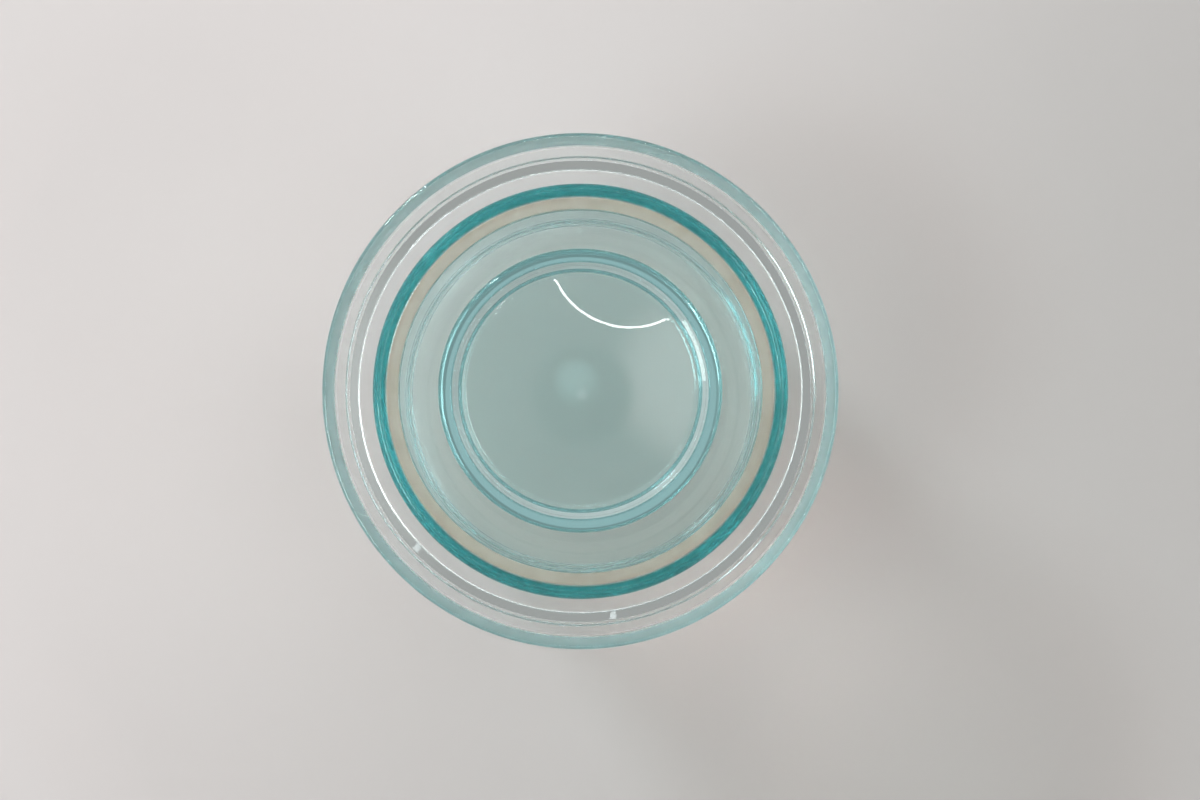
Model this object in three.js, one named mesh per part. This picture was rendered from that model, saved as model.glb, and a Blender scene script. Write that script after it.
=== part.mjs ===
// Pressed glass storage jar with a knobbed, flanged lift-off lid and a seal ring.
// Millimetres, +Z up, the jar's axis on Z and its foot on z = 0.
import * as THREE from "three";

// Jar
const JAR_RADIUS = 48.5;
const JAR_HEIGHT = 110;
const WALL = 3;
const FLOOR_HEIGHT = 9;
const FLOOR_FILLET = 1;
const RIM_ROUNDING = 0.48 * WALL;
const FOOT_WIDTH = 3.1;
const FOOT_FILLET = 0.3;
const HEEL_ROUNDING = 1.5;
const PUNT_DEPTH = 3;
const PUNT_SLOPE = 0.6;
const PUNT_FILLET = 0.4;

// Lid
const LID_RADIUS = 60;
const LID_PLATE = 4;
const EDGE_BEVEL = 2.8;
const EDGE_FILLET = 0.4;
const EDGE_ROUNDING = 0.8;
const RIDGE_CLEARANCE = 2.9;
const RIDGE_REACH = 2.5;
const RIDGE_DEPTH = 2.25;
const RIDGE_LAND = 0.7;
const RIDGE_FILLET = 0.3;
const PLUG_DEPTH = 5.5;
const PLUG_CLEARANCE = 2.4;
const PLUG_EDGE = 0.4;
const GROOVE_DEPTH = 1;
const GROOVE_FILLET = 0.3;

// Knob on the lid
const KNOB_RADIUS = 32.5;
const KNOB_HEIGHT = 16.5;
const KNOB_EDGE = 1;
const KNOB_LOWER_EDGE = 1;
const CONE_REACH = 3.7;
const CONE_RISE = 3.6;
const CONE_FILLET = 1.6;
const SHOULDER_DROP = 2;
const TABLE_RADIUS = 26.3;
const TABLE_CROWN = 1.6;
const TABLE_STEP = 1;
const TABLE_FILLET = 0.45;
const NECK_RADIUS = 26.3;
const NECK_HEIGHT = 6;
const NECK_RISE = 0.3;
const NECK_COVE = 1.2;
const ROOT_COVE = 2.5;

// Seal ring
const SEAL_HEIGHT = 3.2;
const SEAL_RELIEF = 0.7;
const SEAL_FIN = 0.9;
const SEAL_ROUNDING = 0.25;

// Gap left where one piece rests on or runs in another
const FIT = 0.3;

const TURN_SEGMENTS = 48;
const ARC_STEP = Math.PI / 8;
const SMALL_ROUNDING = 1.3;
const CROWN_STEPS = 3;

const MOUTH_RADIUS = JAR_RADIUS - WALL;
const LID_UNDERSIDE = JAR_HEIGHT + FIT;
const LID_TOP = LID_UNDERSIDE + LID_PLATE;
const PLUG_RADIUS = MOUTH_RADIUS - PLUG_CLEARANCE;
const GROOVE_RADIUS = PLUG_RADIUS - GROOVE_DEPTH;

// Rounds the corners of an outline in the (radius, height) plane.
// Each corner is [radius, height, rounding].
function roundedOutline(corners, closed) {
  const points = [];
  const count = corners.length;
  corners.forEach(([x, y, rounding = 0], index) => {
    const corner = new THREE.Vector2(x, y);
    if (rounding === 0) {
      points.push(corner);
      return;
    }
    const [beforeX, beforeY] = corners[(index + count - 1) % count];
    const [afterX, afterY] = corners[(index + 1) % count];
    const back = new THREE.Vector2(beforeX, beforeY).sub(corner).normalize();
    const ahead = new THREE.Vector2(afterX, afterY).sub(corner).normalize();
    const half = Math.acos(THREE.MathUtils.clamp(back.dot(ahead), -1, 1)) / 2;
    const centre = back.clone().add(ahead).normalize();
    centre.multiplyScalar(rounding / Math.sin(half)).add(corner);
    const start = back.multiplyScalar(rounding / Math.tan(half)).add(corner).sub(centre);
    const end = ahead.multiplyScalar(rounding / Math.tan(half)).add(corner).sub(centre);
    const sweep = Math.atan2(start.cross(end), start.dot(end));
    const stride = rounding < SMALL_ROUNDING ? 2 * ARC_STEP : ARC_STEP;
    const steps = Math.max(2, Math.ceil(Math.abs(sweep) / stride));
    for (let step = 0; step <= steps; step += 1) {
      const turn = (sweep * step) / steps;
      points.push(start.clone().rotateAround(new THREE.Vector2(), turn).add(centre));
    }
  });
  if (closed) points.push(points[0].clone());
  return points;
}

// Turns an outline about the Z axis into a closed solid.
function turned(name, corners, closed, material) {
  const geometry = new THREE.LatheGeometry(roundedOutline(corners, closed), TURN_SEGMENTS);
  geometry.rotateX(Math.PI / 2);
  const mesh = new THREE.Mesh(geometry, material);
  mesh.name = name;
  return mesh;
}

const jarGlass = new THREE.MeshStandardMaterial({
  color: 0x9fc4c2,
  roughness: 0.05,
  metalness: 0,
  transparent: true,
  opacity: 0.4,
});
const lidGlass = jarGlass.clone();
const sealRubber = new THREE.MeshStandardMaterial({
  color: 0xc9c4ab,
  roughness: 0.5,
  metalness: 0,
});

// The jar is one skin from the punt under its base, round the foot and heel,
// up the wall, over the rim and down to the floor inside.
function jarBody() {
  const puntMouth = JAR_RADIUS - FOOT_WIDTH;
  return turned("jar_body", [
    [0, PUNT_DEPTH],
    [puntMouth - PUNT_SLOPE, PUNT_DEPTH, PUNT_FILLET],
    [puntMouth, 0, FOOT_FILLET],
    [JAR_RADIUS, 0, HEEL_ROUNDING],
    [JAR_RADIUS, JAR_HEIGHT, RIM_ROUNDING],
    [MOUTH_RADIUS, JAR_HEIGHT, RIM_ROUNDING],
    [MOUTH_RADIUS, FLOOR_HEIGHT, FLOOR_FILLET],
    [0, FLOOR_HEIGHT],
  ], false, jarGlass);
}

// Corners of the knob from its root on the plate, up the neck, out under the
// head along its cone, over the edge, in along the shoulder, up the step to
// the crowned table and across it to the axis.
function knobCorners() {
  const crownAt = (radius) =>
    LID_TOP + KNOB_HEIGHT - TABLE_CROWN * (radius / TABLE_RADIUS) ** 2;
  const headBottom = LID_TOP + NECK_HEIGHT + NECK_RISE;
  const shoulder = crownAt(TABLE_RADIUS) - TABLE_STEP;
  const corners = [
    [NECK_RADIUS, LID_TOP, ROOT_COVE],
    [NECK_RADIUS, LID_TOP + NECK_HEIGHT, NECK_COVE],
    [KNOB_RADIUS - CONE_REACH, headBottom, CONE_FILLET],
    [KNOB_RADIUS, headBottom + CONE_RISE, KNOB_LOWER_EDGE],
    [KNOB_RADIUS, shoulder - SHOULDER_DROP, KNOB_EDGE],
    [TABLE_RADIUS, shoulder, TABLE_FILLET],
    [TABLE_RADIUS, crownAt(TABLE_RADIUS), TABLE_FILLET],
  ];
  for (let step = CROWN_STEPS - 1; step >= 0; step -= 1) {
    const radius = (TABLE_RADIUS * step) / CROWN_STEPS;
    corners.push([radius, crownAt(radius)]);
  }
  return corners;
}

// The lid's plug enters the mouth and a groove round it holds the seal ring.
// Its plate reaches past the rim, with a ridge below that keeps it central and
// an edge bevelled from underneath.
function lid() {
  const grooveFloor = LID_UNDERSIDE - SEAL_HEIGHT - 2 * FIT;
  const ridgeInner = JAR_RADIUS + RIDGE_CLEARANCE;
  const ridgeOuter = ridgeInner + RIDGE_REACH + RIDGE_LAND;
  return turned("lid", [
    [0, LID_UNDERSIDE - PLUG_DEPTH],
    [PLUG_RADIUS, LID_UNDERSIDE - PLUG_DEPTH, PLUG_EDGE],
    [PLUG_RADIUS, grooveFloor, GROOVE_FILLET],
    [GROOVE_RADIUS, grooveFloor, GROOVE_FILLET],
    [GROOVE_RADIUS, LID_UNDERSIDE, GROOVE_FILLET],
    [ridgeInner, LID_UNDERSIDE, RIDGE_FILLET],
    [ridgeInner + RIDGE_REACH, LID_UNDERSIDE - RIDGE_DEPTH, RIDGE_FILLET],
    [ridgeOuter, LID_UNDERSIDE - RIDGE_DEPTH, RIDGE_FILLET],
    [ridgeOuter, LID_UNDERSIDE, RIDGE_FILLET],
    [LID_RADIUS - EDGE_BEVEL, LID_UNDERSIDE, EDGE_FILLET],
    [LID_RADIUS, LID_UNDERSIDE + EDGE_BEVEL, EDGE_FILLET],
    [LID_RADIUS, LID_TOP, EDGE_ROUNDING],
    ...knobCorners(),
  ], false, lidGlass);
}

// The seal has a fin at each end of its outer side and a relief between them.
function sealRing() {
  const top = LID_UNDERSIDE - FIT;
  const bottom = top - SEAL_HEIGHT;
  const inner = GROOVE_RADIUS + FIT;
  const outer = MOUTH_RADIUS - FIT;
  return turned("seal_ring", [
    [inner, bottom, SEAL_ROUNDING],
    [outer, bottom, SEAL_ROUNDING],
    [outer, bottom + SEAL_FIN, SEAL_ROUNDING],
    [outer - SEAL_RELIEF, bottom + SEAL_FIN, SEAL_ROUNDING],
    [outer - SEAL_RELIEF, top - SEAL_FIN, SEAL_ROUNDING],
    [outer, top - SEAL_FIN, SEAL_ROUNDING],
    [outer, top, SEAL_ROUNDING],
    [inner, top, SEAL_ROUNDING],
  ], true, sealRubber);
}

const storageJar = new THREE.Group();
storageJar.name = "storage_jar";
storageJar.add(jarBody(), lid(), sealRing());

export default storageJar;
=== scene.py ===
"""Glass storage jar with a knobbed lid and a seal ring, dressed for a studio picture from above.

Metres, +Z up, the jar's axis on Z and its foot on z = 0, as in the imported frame.
"""

import logging
import math
from abc import ABC, abstractmethod
from dataclasses import dataclass
from enum import Enum
from typing import Any, NamedTuple

import bmesh
import bpy
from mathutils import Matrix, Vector


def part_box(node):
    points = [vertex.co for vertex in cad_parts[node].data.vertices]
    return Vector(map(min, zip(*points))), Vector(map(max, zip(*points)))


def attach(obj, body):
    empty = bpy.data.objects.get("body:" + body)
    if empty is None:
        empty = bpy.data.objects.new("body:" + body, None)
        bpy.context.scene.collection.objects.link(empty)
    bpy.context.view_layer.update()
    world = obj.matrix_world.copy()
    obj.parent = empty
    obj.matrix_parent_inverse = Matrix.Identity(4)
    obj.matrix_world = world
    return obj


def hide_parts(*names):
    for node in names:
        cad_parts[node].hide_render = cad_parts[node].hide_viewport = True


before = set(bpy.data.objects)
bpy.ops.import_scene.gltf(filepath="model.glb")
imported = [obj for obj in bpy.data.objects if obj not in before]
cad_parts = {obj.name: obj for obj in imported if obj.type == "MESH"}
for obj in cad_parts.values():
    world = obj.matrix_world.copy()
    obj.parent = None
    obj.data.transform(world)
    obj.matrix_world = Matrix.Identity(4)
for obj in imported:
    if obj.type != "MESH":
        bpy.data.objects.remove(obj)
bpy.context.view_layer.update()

LOG = logging.getLogger("storage_jar")
MM = 0.001
FIT = 0.3 * MM
IMAGE_WIDTH = 1200
NOISE_MIDDLE = 0.5

Colour = tuple[float, float, float]


class Body(Enum):
    """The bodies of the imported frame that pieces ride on."""

    JAR = "jar"
    LID = "lid_assembly"


class Node(Enum):
    """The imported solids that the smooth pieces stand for."""

    JAR = "jar_body"
    LID = "lid"
    SEAL = "seal_ring"


class Slot(Enum):
    """The record's material slots."""

    JAR_GLASS = "jar_glass"
    LID_GLASS = "lid_glass"
    SEAL_RUBBER = "seal_rubber"


def pointing(azimuth: float, lean: float) -> Vector:
    """Finds the direction of a thing in the room, as seen from the jar.

    Args:
        azimuth: Its heading from +X, in degrees.
        lean: Its angle from straight up, in degrees.

    Returns:
        The direction, one long.
    """
    around, away = math.radians(azimuth), math.radians(lean)
    across = math.sin(away)
    return Vector((math.cos(around) * across, math.sin(around) * across, math.cos(away)))


class Corner(NamedTuple):
    """A corner of an outline: radius, height and the radius it is rounded to."""

    radius: float
    height: float
    rounding: float = 0.0


class Value:
    """A shader socket that can be used in Python expressions."""

    def __init__(self, shader: "Shader", socket: Any) -> None:
        """Keeps the socket and the shader that it belongs to."""
        self.shader = shader
        self.socket = socket

    def _math(self, operation: str, first: Any, second: Any = 0.0) -> "Value":
        """Adds a Math node.

        Args:
            operation: The node's operation.
            first: The first value, a number or a Value.
            second: The second value, a number or a Value.

        Returns:
            The node's result.
        """
        node = self.shader.node("ShaderNodeMath", {"operation": operation}, {0: first, 1: second})
        return Value(self.shader, node.outputs[0])

    def __add__(self, other: Any) -> "Value":
        """This value plus another."""
        return self._math("ADD", self, other)

    __radd__ = __add__

    def __sub__(self, other: Any) -> "Value":
        """This value less another."""
        return self._math("SUBTRACT", self, other)

    def __rsub__(self, other: Any) -> "Value":
        """Another value less this one."""
        return self._math("SUBTRACT", other, self)

    def __mul__(self, other: Any) -> "Value":
        """This value times another."""
        return self._math("MULTIPLY", self, other)

    __rmul__ = __mul__

    def above(self, edge: Any) -> "Value":
        """One where this value is above an edge, else zero."""
        return self._math("GREATER_THAN", self, edge)

    def root(self) -> "Value":
        """The square root of this value."""
        return self._math("SQRT", self)

    def size(self) -> "Value":
        """This value without its sign."""
        return self._math("ABSOLUTE", self)

    def ramp(self, low: float, high: float) -> "Value":
        """Runs smoothly from zero at one level to one at another.

        Args:
            low: The level that gives zero.
            high: The level that gives one.

        Returns:
            The eased value.
        """
        node = self.shader.node(
            "ShaderNodeMapRange",
            {"interpolation_type": "SMOOTHSTEP"},
            {"Value": self, "From Min": low, "From Max": high},
        )
        return Value(self.shader, node.outputs[0])


class Shader:
    """A node tree under construction."""

    def __init__(self, tree: bpy.types.NodeTree) -> None:
        """Empties the tree and starts on it."""
        self.tree = tree
        self.tree.nodes.clear()

    def node(self, kind: str, settings: dict[str, Any] | None = None,
             inputs: dict[Any, Any] | None = None) -> bpy.types.Node:
        """Adds a node.

        Args:
            kind: The node's type.
            settings: Properties to set first.
            inputs: Values or links for its sockets, by name or number.

        Returns:
            The node.
        """
        made = self.tree.nodes.new(kind)
        for key, setting in (settings or {}).items():
            setattr(made, key, setting)
        for key, given in (inputs or {}).items():
            source = given.socket if isinstance(given, Value) else given
            if isinstance(source, bpy.types.NodeSocket):
                self.tree.links.new(source, made.inputs[key])
            elif made.inputs[key].type == "RGBA":
                made.inputs[key].default_value = (*source, 1.0)
            else:
                made.inputs[key].default_value = source
        return made

    def value(self, kind: str, output: str, settings: dict[str, Any] | None = None,
              inputs: dict[Any, Any] | None = None) -> Value:
        """Adds a node and wraps one of its outputs.

        Args:
            kind: The node's type.
            output: The output's name.
            settings: Properties to set first.
            inputs: Values or links for its sockets.

        Returns:
            The wrapped output.
        """
        return Value(self, self.node(kind, settings, inputs).outputs[output])

    def place(self) -> Value:
        """The point on the object, in metres."""
        return self.value("ShaderNodeTexCoord", "Object")

    def apart(self, vector: Value) -> tuple[Value, Value, Value]:
        """Takes a vector apart.

        Args:
            vector: The vector.

        Returns:
            Its X, Y and Z.
        """
        node = self.node("ShaderNodeSeparateXYZ", None, {0: vector})
        return tuple(Value(self, output) for output in node.outputs)

    def stretched(self, place: Value, scale: tuple[float, float, float]) -> Value:
        """Scales a place along each axis.

        Args:
            place: The place.
            scale: The factors along X, Y and Z.

        Returns:
            The scaled place.
        """
        return self.value("ShaderNodeVectorMath", "Vector", {"operation": "MULTIPLY"},
                          {0: place, 1: scale})

    def noise(self, place: Value, scale: float, detail: float = 2.0) -> Value:
        """Adds a noise pattern.

        Args:
            place: Where it is read.
            scale: Cycles per metre.
            detail: Octaves.

        Returns:
            Its level, which lies about the noise's middle.
        """
        return self.value("ShaderNodeTexNoise", "Fac", None,
                          {"Vector": place, "Scale": scale, "Detail": detail})

    def blend(self, share: Value, first: Any, second: Any) -> Value:
        """Mixes two colours.

        Args:
            share: The second colour's share.
            first: The first colour.
            second: The second colour.

        Returns:
            The mixed colour.
        """
        # The Mix node takes its colours at sockets 6 and 7 and gives a colour at socket 2
        node = self.node("ShaderNodeMix", {"data_type": "RGBA"}, {0: share, 6: first, 7: second})
        return Value(self, node.outputs[2])


def start_material(name: str) -> tuple[bpy.types.Material, Shader]:
    """Starts a material.

    Args:
        name: Its name.

    Returns:
        The material and its empty shader.
    """
    made = bpy.data.materials.new(name)
    made.use_nodes = True
    return made, Shader(made.node_tree)


@dataclass(frozen=True)
class PressedGlass:
    """Clear pressed glass with an aqua body tint, faint flow lines and hairline scratches.

    A satin edge, where a piece has one, lies outside the satin radius and below the satin height.
    """

    name: str
    tint: Colour
    density: float
    satin: float = 0.0
    satin_radius: float = 0.0
    satin_height: float = 0.0
    ior: float = 1.5
    shadow: Colour = (0.848, 0.746, 0.718)
    flow: float = 0.0004
    flow_depth: float = 0.2 * MM
    flow_scale: tuple[float, float, float] = (3.0, 3.0, 110.0)
    scratch: float = 0.25
    scratch_scale: float = 55.0
    scratch_width: float = 0.0035
    worn_scale: float = 33.0
    worn_from: float = 0.58
    worn_to: float = 0.7

    def material(self) -> bpy.types.Material:
        """Makes the glass.

        Returns:
            The material.
        """
        made, shader = start_material(self.name)
        place = shader.place()
        roughness = self._scratches(shader, place)
        if self.satin:
            roughness = roughness + self._satin_edge(shader, place)
        bump = shader.node("ShaderNodeBump", None, {
            "Strength": self.flow,
            "Distance": self.flow_depth,
            "Height": shader.noise(shader.stretched(place, self.flow_scale), scale=1.0),
        })
        glass = shader.node("ShaderNodeBsdfPrincipled", None, {
            "Base Color": (1.0, 1.0, 1.0),
            "Roughness": roughness,
            "IOR": self.ior,
            "Transmission Weight": 1.0,
            "Normal": bump.outputs[0],
        })
        passing = shader.node("ShaderNodeBsdfTransparent", None, {"Color": self.shadow})
        shadow_ray = shader.value("ShaderNodeLightPath", "Is Shadow Ray")
        surface = shader.node("ShaderNodeMixShader", None,
                              {0: shadow_ray, 1: glass.outputs[0], 2: passing.outputs[0]})
        body = shader.node("ShaderNodeVolumeAbsorption", None,
                           {"Color": self.tint, "Density": self.density})
        shader.node("ShaderNodeOutputMaterial", None,
                    {"Surface": surface.outputs[0], "Volume": body.outputs[0]})
        return made

    def _satin_edge(self, shader: Shader, place: Value) -> Value:
        """Finds the roughness of the satin edge.

        Args:
            shader: The glass under construction.
            place: The point on the piece.

        Returns:
            The roughness.
        """
        across, along, height = shader.apart(place)
        radius = (across * across + along * along).root()
        return self.satin * radius.above(self.satin_radius) * (1 - height.above(self.satin_height))

    def _scratches(self, shader: Shader, place: Value) -> Value:
        """Finds the roughness of hairline scratches in the worn places.

        Args:
            shader: The glass under construction.
            place: The point on the piece.

        Returns:
            The roughness.
        """
        line = (shader.noise(place, self.scratch_scale, detail=1.0) - NOISE_MIDDLE).size()
        worn = shader.noise(place, self.worn_scale).ramp(self.worn_from, self.worn_to)
        return self.scratch * worn * (1 - line.ramp(0.0, self.scratch_width))


@dataclass(frozen=True)
class SealRubber:
    """Yellowed translucent rubber, matt and a little mottled."""

    name: str
    pale: Colour = (0.66, 0.66, 0.59)
    aged: Colour = (0.60, 0.59, 0.51)
    mottle_scale: float = 260.0
    mottle_from: float = 0.35
    mottle_to: float = 0.7
    mottle_roughness: float = 0.15
    grain: float = 0.2
    grain_depth: float = 0.05 * MM
    grain_scale: float = 2600.0
    roughness: float = 0.5
    ior: float = 1.41
    clearness: float = 0.75

    def material(self) -> bpy.types.Material:
        """Makes the rubber.

        Returns:
            The material.
        """
        made, shader = start_material(self.name)
        place = shader.place()
        mottle = shader.noise(place, self.mottle_scale).ramp(self.mottle_from, self.mottle_to)
        bump = shader.node("ShaderNodeBump", None, {
            "Strength": self.grain,
            "Distance": self.grain_depth,
            "Height": shader.noise(place, self.grain_scale),
        })
        rubber = shader.node("ShaderNodeBsdfPrincipled", None, {
            "Base Color": shader.blend(mottle, self.pale, self.aged),
            "Roughness": self.roughness + self.mottle_roughness * mottle,
            "IOR": self.ior,
            "Transmission Weight": self.clearness,
            "Normal": bump.outputs[0],
        })
        shader.node("ShaderNodeOutputMaterial", None, {"Surface": rubber.outputs[0]})
        return made


@dataclass(frozen=True)
class TableTop:
    """A plain pale table, faintly uneven at random, with painted shade darkening it towards one side,
    that fades into the backdrop.
    """

    backdrop: Colour
    name: str = "table_top"
    light: Colour = (0.55, 0.53, 0.53)
    # The colour of the painted shade that darkens one side of the table
    painted_shade_tone: Colour = (0.41, 0.405, 0.40)
    shade_half_width: float = 0.14
    shade_slant: float = -0.7
    patch_scale: float = 9.0
    patch_share: float = 0.12
    roughness: float = 0.6
    fade_from: float = 0.2
    fade_to: float = 0.8

    def material(self) -> bpy.types.Material:
        """Makes the table's surface.

        Returns:
            The material.
        """
        made, shader = start_material(self.name)
        place = shader.place()
        across, along, _ = shader.apart(place)
        patch = shader.noise(place, self.patch_scale) - NOISE_MIDDLE
        # Painted shade: the table's colour darkens smoothly across a slanted band towards one side, with
        # faint random patches on top
        toward_painted_shade = across + self.shade_slant * along
        painted_shade_and_patch = toward_painted_shade.ramp(-self.shade_half_width, self.shade_half_width) + self.patch_share * patch
        top = shader.node("ShaderNodeBsdfPrincipled", None, {
            "Base Color": shader.blend(painted_shade_and_patch, self.light, self.painted_shade_tone),
            "Roughness": self.roughness,
        })
        far = (across * across + along * along).root().ramp(self.fade_from, self.fade_to)
        seen = shader.value("ShaderNodeLightPath", "Is Camera Ray")
        seen = seen + shader.value("ShaderNodeLightPath", "Is Transmission Ray")
        pale = shader.node("ShaderNodeEmission", None, {"Color": self.backdrop})
        surface = shader.node("ShaderNodeMixShader", None,
                              {0: far * seen, 1: top.outputs[0], 2: pale.outputs[0]})
        shader.node("ShaderNodeOutputMaterial", None, {"Surface": surface.outputs[0]})
        return made


class Turning(ABC):
    """A piece turned about the jar's axis from an outline, as a stand-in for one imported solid."""

    node: Node
    body: Body
    slot: Slot
    closed: bool = False
    turn_steps: int = 256
    arc_step: float = math.radians(6)
    least_arc_steps: int = 3
    round_profile: float = 0.5
    smooth_angle: float = math.radians(28)
    normal_weight: int = 100
    weld: float = 1e-7

    @property
    @abstractmethod
    def name(self) -> str:
        """The piece's name."""

    @abstractmethod
    def corners(self) -> list[Corner]:
        """The outline's corners, in order."""

    @abstractmethod
    def finish(self) -> bpy.types.Material:
        """The piece's material."""

    def build(self) -> bpy.types.Object:
        """Models the piece, dresses it and puts it in the place of its solid.

        Returns:
            The finished piece.
        """
        piece = self._start()
        self._draw(self.corners())
        self._round(piece, self.corners())
        self._turn(piece)
        self._smooth(piece)
        piece.data.materials.append(self.finish())
        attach(piece, self.body.value)
        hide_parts(self.node.value)
        return piece

    def _start(self) -> bpy.types.Object:
        """Adds a small plane on the axis and shrinks it to one point.

        Returns:
            The new object, left in edit mode.
        """
        bpy.ops.object.select_all(action="DESELECT")
        bpy.ops.mesh.primitive_plane_add(size=MM)
        piece = bpy.context.object
        piece.name = self.name
        piece.data.name = self.name
        bpy.ops.object.mode_set(mode="EDIT")
        bpy.ops.mesh.select_all(action="SELECT")
        bpy.ops.mesh.merge(type="CENTER")
        return piece

    def _draw(self, corners: list[Corner]) -> None:
        """Extrudes the point from corner to corner.

        Args:
            corners: The outline's corners.
        """
        here = corners[0]
        bpy.ops.transform.translate(value=(here.radius, 0, here.height))
        path = corners[1:] + corners[:1] if self.closed else corners[1:]
        for there in path:
            step = (there.radius - here.radius, 0, there.height - here.height)
            bpy.ops.mesh.extrude_region_move(TRANSFORM_OT_translate={"value": step})
            here = there
        bpy.ops.mesh.select_all(action="SELECT")
        bpy.ops.mesh.remove_doubles(threshold=self.weld)

    def _round(self, piece: bpy.types.Object, corners: list[Corner]) -> None:
        """Bevels each corner that has a rounding.

        Args:
            piece: The piece in edit mode.
            corners: The outline's corners.
        """
        for index, corner in enumerate(corners):
            if corner.rounding == 0:
                continue
            before = corners[index - 1]
            after = corners[(index + 1) % len(corners)]
            back = Vector((before.radius - corner.radius, before.height - corner.height))
            ahead = Vector((after.radius - corner.radius, after.height - corner.height))
            half = back.angle(ahead) / 2
            self._select_point(piece, Vector((corner.radius, 0, corner.height)))
            bpy.ops.mesh.bevel(
                offset_type="OFFSET",
                offset=corner.rounding / math.tan(half),
                segments=max(self.least_arc_steps, math.ceil((math.pi - 2 * half) / self.arc_step)),
                profile=self.round_profile,
                affect="VERTICES",
            )

    def _select_point(self, piece: bpy.types.Object, point: Vector) -> None:
        """Selects the point of the outline that is nearest to a place.

        Args:
            piece: The piece in edit mode.
            point: The place.
        """
        bpy.ops.mesh.select_all(action="DESELECT")
        mesh = bmesh.from_edit_mesh(piece.data)
        min(mesh.verts, key=lambda vert: (vert.co - point).length).select_set(True)
        bmesh.update_edit_mesh(piece.data)

    def _turn(self, piece: bpy.types.Object) -> None:
        """Turns the outline once about the axis, closes the poles and faces the skin outward.

        Args:
            piece: The piece in edit mode.
        """
        bpy.ops.object.mode_set(mode="OBJECT")
        turned = piece.modifiers.new("turned", "SCREW")
        turned.steps = self.turn_steps
        turned.use_merge_vertices = True
        turned.merge_threshold = self.weld
        bpy.ops.object.modifier_apply(modifier=turned.name)
        bpy.ops.object.mode_set(mode="EDIT")
        bpy.ops.mesh.select_all(action="SELECT")
        bpy.ops.mesh.normals_make_consistent(inside=False)
        bpy.ops.object.mode_set(mode="OBJECT")

    def _smooth(self, piece: bpy.types.Object) -> None:
        """Smooths the shading and lets the broad faces lead the normals.

        Args:
            piece: The piece in object mode.
        """
        bpy.ops.object.shade_smooth_by_angle(angle=self.smooth_angle)
        weighted = piece.modifiers.new("weighted", "WEIGHTED_NORMAL")
        weighted.weight = self.normal_weight
        weighted.keep_sharp = True
        bpy.ops.object.modifier_apply(modifier=weighted.name)


@dataclass
class Jar(Turning):
    """The straight jar: punt, foot ring, heel, wall, rim and floor."""

    radius: float
    height: float
    wall: float = 3.0 * MM
    floor_height: float = 9.0 * MM
    floor_fillet: float = 1.0 * MM
    rim_share: float = 0.48
    foot_width: float = 3.1 * MM
    foot_fillet: float = 0.3 * MM
    heel_rounding: float = 1.5 * MM
    punt_depth: float = 3.0 * MM
    punt_slope: float = 0.6 * MM
    punt_fillet: float = 0.4 * MM
    glass_tint: Colour = (0.2, 0.79, 0.812)
    glass_density: float = 28.0

    node = Node.JAR
    body = Body.JAR
    slot = Slot.JAR_GLASS

    @classmethod
    def from_frame(cls) -> "Jar":
        """Takes the jar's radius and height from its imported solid."""
        _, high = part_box(Node.JAR.value)
        return cls(radius=high[0], height=high[2])

    @property
    def name(self) -> str:
        """The piece's name."""
        return "jar_glass_body"

    @property
    def mouth_radius(self) -> float:
        """The radius of the mouth."""
        return self.radius - self.wall

    def corners(self) -> list[Corner]:
        """Sets out the outline from the punt round the wall to the floor.

        Returns:
            The outline's corners, in order.
        """
        punt_mouth = self.radius - self.foot_width
        rim = self.rim_share * self.wall
        return [
            Corner(0, self.punt_depth),
            Corner(punt_mouth - self.punt_slope, self.punt_depth, self.punt_fillet),
            Corner(punt_mouth, 0, self.foot_fillet),
            Corner(self.radius, 0, self.heel_rounding),
            Corner(self.radius, self.height, rim),
            Corner(self.mouth_radius, self.height, rim),
            Corner(self.mouth_radius, self.floor_height, self.floor_fillet),
            Corner(0, self.floor_height),
        ]

    def finish(self) -> bpy.types.Material:
        """The jar's glass."""
        return PressedGlass("jar_pressed_glass", self.glass_tint, self.glass_density).material()


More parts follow.
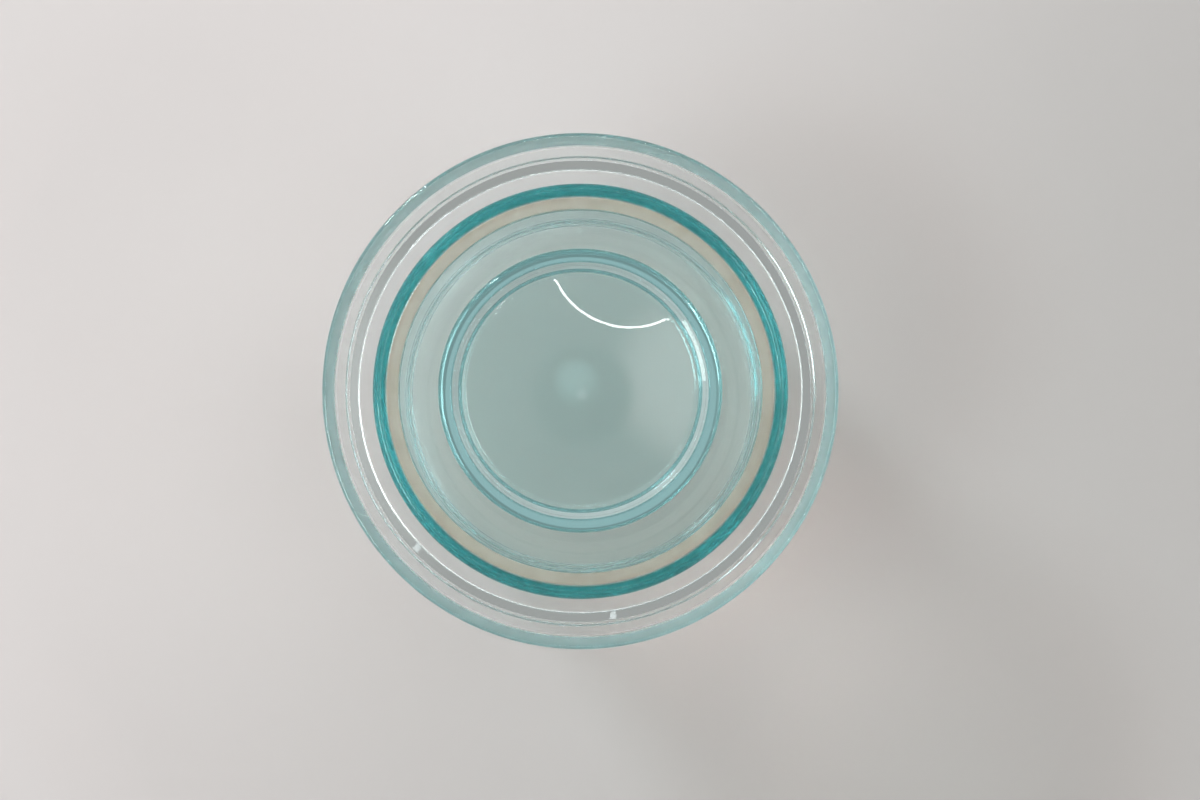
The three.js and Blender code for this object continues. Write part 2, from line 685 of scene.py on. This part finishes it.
@dataclass
class Lid(Turning):
    """The lid: plug with its groove, plate with ridge and bevelled edge, and the knob."""

    radius: float
    underside: float
    jar_radius: float
    mouth_radius: float
    plate: float = 4.0 * MM
    edge_bevel: float = 2.8 * MM
    edge_fillet: float = 0.4 * MM
    edge_rounding: float = 0.8 * MM
    ridge_clearance: float = 2.9 * MM
    ridge_reach: float = 2.5 * MM
    ridge_depth: float = 2.25 * MM
    ridge_land: float = 0.7 * MM
    ridge_fillet: float = 0.3 * MM
    plug_depth: float = 5.5 * MM
    plug_clearance: float = 2.4 * MM
    plug_edge: float = 0.4 * MM
    groove_depth: float = 1.0 * MM
    groove_height: float = 3.8 * MM
    groove_fillet: float = 0.3 * MM
    knob_radius: float = 32.5 * MM
    knob_height: float = 16.5 * MM
    knob_edge: float = 1.0 * MM
    shoulder_drop: float = 2.0 * MM
    table_radius: float = 26.3 * MM
    table_crown: float = 1.6 * MM
    table_step: float = 1.0 * MM
    table_fillet: float = 0.45 * MM
    knob_lower_edge: float = 1.0 * MM
    cone_reach: float = 3.7 * MM
    cone_rise: float = 3.6 * MM
    cone_fillet: float = 1.6 * MM
    neck_radius: float = 26.3 * MM
    neck_height: float = 6.0 * MM
    neck_rise: float = 0.3 * MM
    neck_cove: float = 1.2 * MM
    root_cove: float = 2.5 * MM
    crown_steps: int = 16
    glass_tint: Colour = (0.307, 0.775, 0.8)
    glass_density: float = 21.0
    edge_satin: float = 0.35

    node = Node.LID
    body = Body.LID
    slot = Slot.LID_GLASS

    @classmethod
    def from_frame(cls, jar: Jar) -> "Lid":
        """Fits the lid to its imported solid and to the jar.

        Args:
            jar: The jar that it closes.

        Returns:
            The lid.
        """
        _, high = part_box(Node.LID.value)
        return cls(radius=high[0], underside=jar.height + FIT, jar_radius=jar.radius,
                   mouth_radius=jar.mouth_radius)

    @property
    def name(self) -> str:
        """The piece's name."""
        return "lid_with_knob"

    @property
    def top(self) -> float:
        """The height of the plate's upper face."""
        return self.underside + self.plate

    @property
    def groove_radius(self) -> float:
        """The radius of the groove that holds the seal."""
        return self.mouth_radius - self.plug_clearance - self.groove_depth

    def corners(self) -> list[Corner]:
        """Sets out the outline from the plug's face, round the groove, ridge and edge, and over the knob.

        Returns:
            The outline's corners, in order.
        """
        plug = self.mouth_radius - self.plug_clearance
        plug_face = self.underside - self.plug_depth
        groove_floor = self.underside - self.groove_height
        ridge = self.jar_radius + self.ridge_clearance
        ridge_outer = ridge + self.ridge_reach + self.ridge_land
        ridge_face = self.underside - self.ridge_depth
        return [
            Corner(0, plug_face),
            Corner(plug, plug_face, self.plug_edge),
            Corner(plug, groove_floor, self.groove_fillet),
            Corner(self.groove_radius, groove_floor, self.groove_fillet),
            Corner(self.groove_radius, self.underside, self.groove_fillet),
            Corner(ridge, self.underside, self.ridge_fillet),
            Corner(ridge + self.ridge_reach, ridge_face, self.ridge_fillet),
            Corner(ridge_outer, ridge_face, self.ridge_fillet),
            Corner(ridge_outer, self.underside, self.ridge_fillet),
            Corner(self.radius - self.edge_bevel, self.underside, self.edge_fillet),
            Corner(self.radius, self.underside + self.edge_bevel, self.edge_fillet),
            Corner(self.radius, self.top, self.edge_rounding),
            *self._knob_corners(),
        ]

    def _crown_at(self, radius: float) -> float:
        """The height of the crowned table at a radius."""
        return self.top + self.knob_height - self.table_crown * (radius / self.table_radius) ** 2

    def _knob_corners(self) -> list[Corner]:
        """Sets out the knob from its root, up the neck, along the cone and over the shoulder and table.

        Returns:
            The knob's corners, in order.
        """
        head = self.top + self.neck_height + self.neck_rise
        shoulder = self._crown_at(self.table_radius) - self.table_step
        corners = [
            Corner(self.neck_radius, self.top, self.root_cove),
            Corner(self.neck_radius, self.top + self.neck_height, self.neck_cove),
            Corner(self.knob_radius - self.cone_reach, head, self.cone_fillet),
            Corner(self.knob_radius, head + self.cone_rise, self.knob_lower_edge),
            Corner(self.knob_radius, shoulder - self.shoulder_drop, self.knob_edge),
            Corner(self.table_radius, shoulder, self.table_fillet),
            Corner(self.table_radius, self._crown_at(self.table_radius), self.table_fillet),
        ]
        crown_edge = self.table_radius - 2 * self.table_fillet
        for step in range(self.crown_steps, -1, -1):
            radius = crown_edge * step / self.crown_steps
            corners.append(Corner(radius, self._crown_at(radius)))
        return corners

    def finish(self) -> bpy.types.Material:
        """Makes the lid's glass, with a satin bevel.

        Returns:
            The material.
        """
        return PressedGlass(
            "lid_pressed_glass",
            self.glass_tint,
            self.glass_density,
            satin=self.edge_satin,
            satin_radius=self.radius - self.edge_bevel - self.edge_fillet,
            satin_height=self.top - self.edge_rounding,
        ).material()


@dataclass
class SealRing(Turning):
    """The seal in the plug's groove, with two fins and a relief between them."""

    inner: float
    outer: float
    bottom: float
    top: float
    relief: float = 0.7 * MM
    fin: float = 0.9 * MM
    rounding: float = 0.25 * MM

    node = Node.SEAL
    body = Body.LID
    slot = Slot.SEAL_RUBBER
    closed = True

    @classmethod
    def from_frame(cls, lid: Lid) -> "SealRing":
        """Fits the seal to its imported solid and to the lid's groove.

        Args:
            lid: The lid that carries it.

        Returns:
            The seal.
        """
        low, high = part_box(Node.SEAL.value)
        return cls(inner=lid.groove_radius + FIT, outer=high[0], bottom=low[2], top=high[2])

    @property
    def name(self) -> str:
        """The piece's name."""
        return "seal_ring_rubber"

    def corners(self) -> list[Corner]:
        """Sets out the closed outline of the ring's section.

        Returns:
            The outline's corners, in order.
        """
        relief = self.outer - self.relief
        places = [
            (self.inner, self.bottom),
            (self.outer, self.bottom),
            (self.outer, self.bottom + self.fin),
            (relief, self.bottom + self.fin),
            (relief, self.top - self.fin),
            (self.outer, self.top - self.fin),
            (self.outer, self.top),
            (self.inner, self.top),
        ]
        return [Corner(radius, height, self.rounding) for radius, height in places]

    def finish(self) -> bpy.types.Material:
        """The seal's rubber."""
        return SealRubber("seal_rubber").material()


class LampName(Enum):
    """The studio's lamps."""

    KEY = "key"
    WINDOW = "window"
    BACK_STRIP = "back_strip"
    SIDE_STRIP = "side_strip"


@dataclass(frozen=True)
class Lamp:
    """A rectangular lamp that looks at the jar."""

    name: LampName
    azimuth: float
    lean: float
    width: float
    length: float
    power: float
    distance: float = 1.6
    colour: Colour = (1.0, 1.0, 1.0)

    def build(self, target: Vector) -> bpy.types.Object:
        """Hangs the lamp.

        Args:
            target: The point that it looks at.

        Returns:
            The lamp.
        """
        aim = pointing(self.azimuth, self.lean)
        light = bpy.data.lights.new(self.name.value, "AREA")
        light.shape = "RECTANGLE"
        light.size = self.width
        light.size_y = self.length
        light.energy = self.power
        light.color = self.colour
        lamp = bpy.data.objects.new(self.name.value, light)
        bpy.context.scene.collection.objects.link(lamp)
        lamp.location = target + aim * self.distance
        lamp.rotation_euler = aim.to_track_quat("Z", "Y").to_euler()
        return lamp


@dataclass(frozen=True)
class RoomPatch:
    """A soft round patch of light or shade in the room, with its angles in degrees."""

    azimuth: float
    lean: float
    core: float
    reach: float
    level: float

    def toward(self, across: Value, along: Value, rise: Value) -> Value:
        """Finds the patch's level in a direction.

        Args:
            across: The direction's X.
            along: The direction's Y.
            rise: The direction's Z.

        Returns:
            The level: full in the core, fading to none at the reach.
        """
        aim = pointing(self.azimuth, self.lean)
        facing = aim.x * across + aim.y * along + aim.z * rise
        edge, middle = math.cos(math.radians(self.reach)), math.cos(math.radians(self.core))
        return self.level * facing.ramp(edge, middle)


@dataclass
class Studio:
    """The table, the soft room light, the lamps and the camera."""

    lid_radius: float
    lid_height: float
    table_size: float = 40.0
    backdrop: Colour = (0.63, 0.61, 0.60)
    table_drop: float = 0.2 * MM
    lens: float = 100.0
    sensor: float = 36.0
    lid_width_px: float = 514.2
    camera_right: float = 3.17 * MM
    camera_up: float = -8.1 * MM
    shift_right_px: float = 6.0
    shift_up_px: float = 26.0
    room_colour: Colour = (0.75, 0.74, 0.72)
    wall_level: float = 0.5
    ceiling: RoomPatch = RoomPatch(azimuth=0, lean=0, core=0, reach=41.4, level=0.3)
    window_glow: RoomPatch = RoomPatch(azimuth=180, lean=50, core=0, reach=45, level=0.3)
    ceiling_panel: RoomPatch = RoomPatch(azimuth=8, lean=16, core=5, reach=13.5, level=3.4)
    overhead_shade: RoomPatch = RoomPatch(azimuth=0, lean=0, core=5.5, reach=8, level=0.9)
    overhead_glint: RoomPatch = RoomPatch(azimuth=0, lean=0, core=0.2, reach=1, level=1.6)
    lamps: tuple[Lamp, ...] = (
        Lamp(LampName.KEY, azimuth=198, lean=27, width=0.45, length=0.4, power=8,
             colour=(1.0, 0.98, 0.96)),
        Lamp(LampName.WINDOW, azimuth=133, lean=50, width=0.3, length=0.12, power=11),
        Lamp(LampName.BACK_STRIP, azimuth=36, lean=44, width=0.8, length=0.03, power=3),
        Lamp(LampName.SIDE_STRIP, azimuth=338, lean=44, width=0.55, length=0.03, power=2.5),
    )
    ring_height: float = 2.2
    ring_azimuth: float = 72.0
    ring_away: float = 0.82
    ring_radius: float = 0.426
    ring_tube: float = 6.0 * MM
    ring_steps: int = 128
    ring_tube_steps: int = 8
    ring_level: float = 24.0
    light_bounces: int = 64
    clear_bounces: int = 32

    def build(self) -> None:
        """Sets up the table, light and camera."""
        self._table()
        self._room()
        self._lamps()
        self._ceiling_ring()
        self._camera()
        self._light_paths()

    def _table(self) -> None:
        """Lays the table."""
        bpy.ops.object.select_all(action="DESELECT")
        bpy.ops.mesh.primitive_plane_add(size=self.table_size, location=(0, 0, -self.table_drop))
        table = bpy.context.object
        table.name = "table"
        table.data.materials.append(TableTop(self.backdrop).material())

    def _room(self) -> None:
        """Lights the room softly: dim walls, a brighter ceiling with a panel, a glow from the left.

        A small shade hangs straight above the jar, with a gleam in its middle.
        """
        world = bpy.data.worlds.new("room")
        bpy.context.scene.world = world
        world.use_nodes = True
        shader = Shader(world.node_tree)
        direction = shader.value("ShaderNodeTexCoord", "Generated")
        axes = shader.apart(direction)
        level = self.wall_level
        for patch in (self.ceiling, self.window_glow, self.ceiling_panel):
            level = level + patch.toward(*axes)
        level = level * (1 - self.overhead_shade.toward(*axes)) + self.overhead_glint.toward(*axes)
        seen = shader.value("ShaderNodeLightPath", "Is Camera Ray")
        room = shader.node("ShaderNodeBackground", None,
                           {"Color": self.room_colour, "Strength": level})
        backdrop = shader.node("ShaderNodeBackground", None, {"Color": self.backdrop})
        surface = shader.node("ShaderNodeMixShader", None,
                              {0: seen, 1: room.outputs[0], 2: backdrop.outputs[0]})
        shader.node("ShaderNodeOutputWorld", None, {"Surface": surface.outputs[0]})

    def _lamps(self) -> None:
        """Hangs the lamps round the jar."""
        target = Vector((0, 0, self.lid_height))
        for lamp in self.lamps:
            lamp.build(target)

    def _ceiling_ring(self) -> None:
        """Hangs the thin ring lamp that the knob's table mirrors as an arc."""
        around = math.radians(self.ring_azimuth)
        bpy.ops.object.select_all(action="DESELECT")
        bpy.ops.mesh.primitive_torus_add(
            location=(self.ring_away * math.cos(around), self.ring_away * math.sin(around),
                      self.ring_height),
            major_radius=self.ring_radius,
            minor_radius=self.ring_tube,
            major_segments=self.ring_steps,
            minor_segments=self.ring_tube_steps,
        )
        ring = bpy.context.object
        ring.name = "ceiling_ring"
        ring.visible_camera = False
        glow, shader = start_material("ceiling_ring_glow")
        light = shader.node("ShaderNodeEmission", None, {"Strength": self.ring_level})
        shader.node("ShaderNodeOutputMaterial", None, {"Surface": light.outputs[0]})
        ring.data.materials.append(glow)

    def _camera(self) -> None:
        """Hangs the camera straight above the lid."""
        camera = bpy.data.cameras.new("camera")
        camera.sensor_width = self.sensor
        camera.lens = self.lens
        camera.shift_x = self.shift_right_px / IMAGE_WIDTH
        camera.shift_y = self.shift_up_px / IMAGE_WIDTH
        focal_px = self.lens / self.sensor * IMAGE_WIDTH
        distance = focal_px * 2 * self.lid_radius / self.lid_width_px
        holder = bpy.data.objects.new("camera", camera)
        bpy.context.scene.collection.objects.link(holder)
        holder.location = (self.camera_right, self.camera_up, self.lid_height + distance)
        bpy.context.scene.camera = holder

    def _light_paths(self) -> None:
        """Lets light run long enough inside the glass, and keeps colours as they are written."""
        scene = bpy.context.scene
        scene.view_settings.view_transform = "Standard"
        cycles = scene.cycles
        cycles.max_bounces = self.light_bounces
        cycles.transmission_bounces = self.light_bounces
        cycles.glossy_bounces = self.light_bounces
        cycles.transparent_max_bounces = self.clear_bounces
        cycles.caustics_refractive = True
        cycles.caustics_reflective = True


def main() -> None:
    """Builds the jar, lid, seal and studio in order."""
    logging.basicConfig(level=logging.INFO, format="%(message)s")
    jar = Jar.from_frame()
    lid = Lid.from_frame(jar)
    seal = SealRing.from_frame(lid)
    for turning in (jar, lid, seal):
        piece = turning.build()
        LOG.info("%s: %d faces on %s", piece.name, len(piece.data.polygons), turning.body.value)
    Studio(lid_radius=lid.radius, lid_height=lid.underside).build()


if __name__ == "__main__":
    main()
